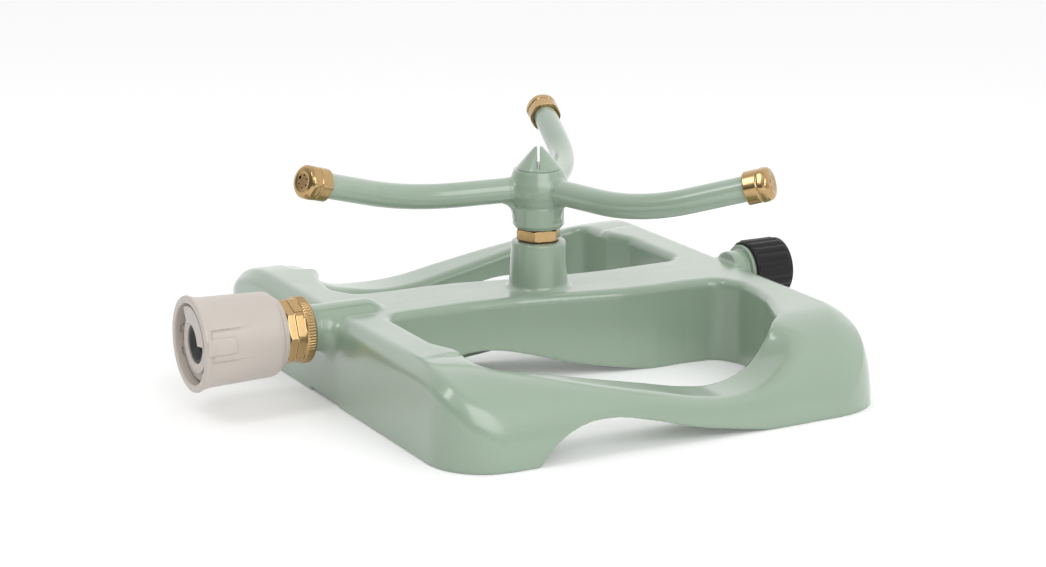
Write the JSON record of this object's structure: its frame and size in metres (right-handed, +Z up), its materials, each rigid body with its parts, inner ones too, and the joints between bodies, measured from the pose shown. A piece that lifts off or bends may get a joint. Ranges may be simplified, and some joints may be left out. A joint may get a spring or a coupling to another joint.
{
  "type": "rotary sprinkler",
  "caption": "Rotary lawn sprinkler: bent spray arms with brass nozzles on a spinning hub, cast green sled base with water way, twist-lock hose coupler and screw cap.",
  "frame": {"origin": "middle of the ground rectangle that the whole sprinkler covers, on the ground", "axes": "+Z up along the rotor's axis, +X along the water way from the hose coupler to the screw cap"},
  "size_m": [0.3134, 0.2744, 0.1115],
  "materials": {
    "painted_casting": "semi-gloss sage green enamel",
    "brass": "turned and polished",
    "beige_plastic": "satin moulded",
    "black_plastic": "satin moulded",
    "rubber": "matte",
    "white_plastic": "smooth bearing plastic",
    "fibre": "vulcanised fibre",
    "steel": "plain"
  },
  "bodies": {
    "base": {"base_shell": "painted_casting", "riser_spindle": "brass", "riser_gasket": "fibre", "lower_thrust_washer": "white_plastic", "upper_thrust_washer": "white_plastic", "spindle_o_ring": "rubber", "retaining_nut": "brass", "inlet_washer": "rubber", "inlet_filter": "steel", "coupler_body": "beige_plastic", "coupler_seal": "rubber", "coupler_retaining_ring": "steel"},
    "rotor": {"rotor_hub": "painted_casting", "rotor_cap": "painted_casting", "rotor_cap_o_ring": "rubber", "arm_1": "painted_casting", "arm_2": "painted_casting", "arm_3": "painted_casting", "nozzle_washer_1": "rubber", "nozzle_washer_2": "rubber", "nozzle_washer_3": "rubber"},
    "nozzle_cap_1": {"nozzle_1": "brass"},
    "nozzle_cap_2": {"nozzle_2": "brass"},
    "nozzle_cap_3": {"nozzle_3": "brass"},
    "inlet_nut": {"inlet_nut": "brass"},
    "collar": {"coupler_collar": "beige_plastic"},
    "outlet_seal": {"outlet_cap_washer": "rubber"},
    "outlet_cap": {"outlet_cap": "black_plastic"}
  },
  "joints": [
    {"name": "rotor_spin", "type": "hinge", "parent": "base", "child": "rotor", "pos_m": [0.02075, 0, 0.075], "axis": [0, 0, 1], "continuous": true},
    {"name": "nozzle_1_turn", "type": "hinge", "parent": "rotor", "child": "nozzle_cap_1", "pos_m": [0.07777, 0.10262, 0.1033], "axis": [0.2579, 0.9262, 0.2751], "range_deg": [-90, 90]},
    {"name": "nozzle_2_turn", "type": "hinge", "parent": "rotor", "child": "nozzle_cap_2", "pos_m": [-0.09663, -0.00193, 0.1033], "axis": [-0.9311, -0.2397, 0.2751], "range_deg": [-90, 90]},
    {"name": "nozzle_3_turn", "type": "hinge", "parent": "rotor", "child": "nozzle_cap_3", "pos_m": [0.08111, -0.1007, 0.1033], "axis": [0.6732, -0.6864, 0.2751], "range_deg": [-90, 90]},
    {"name": "inlet_nut_turn", "type": "hinge", "parent": "base", "child": "inlet_nut", "pos_m": [-0.10725, 0, 0.0348], "axis": [-1, 0, 0], "continuous": true},
    {"name": "coupler_collar_twist", "type": "hinge", "parent": "base", "child": "collar", "pos_m": [-0.13425, 0, 0.0348], "axis": [-1, 0, 0], "range_deg": [0, 90]},
    {"name": "outlet_cap_travel", "type": "slide", "parent": "base", "child": "outlet_seal", "axis": [1, 0, 0], "range_m": [0, 0.00884]},
    {"name": "outlet_cap_turn", "type": "hinge", "parent": "outlet_seal", "child": "outlet_cap", "pos_m": [0.14575, 0, 0.0348], "axis": [1, 0, 0], "range_deg": [0, 1440]}
  ],
  "couplings": [
    {"joint": "outlet_cap_travel", "follows": "outlet_cap_turn", "m_per_rad": 0.00035157}
  ]
}
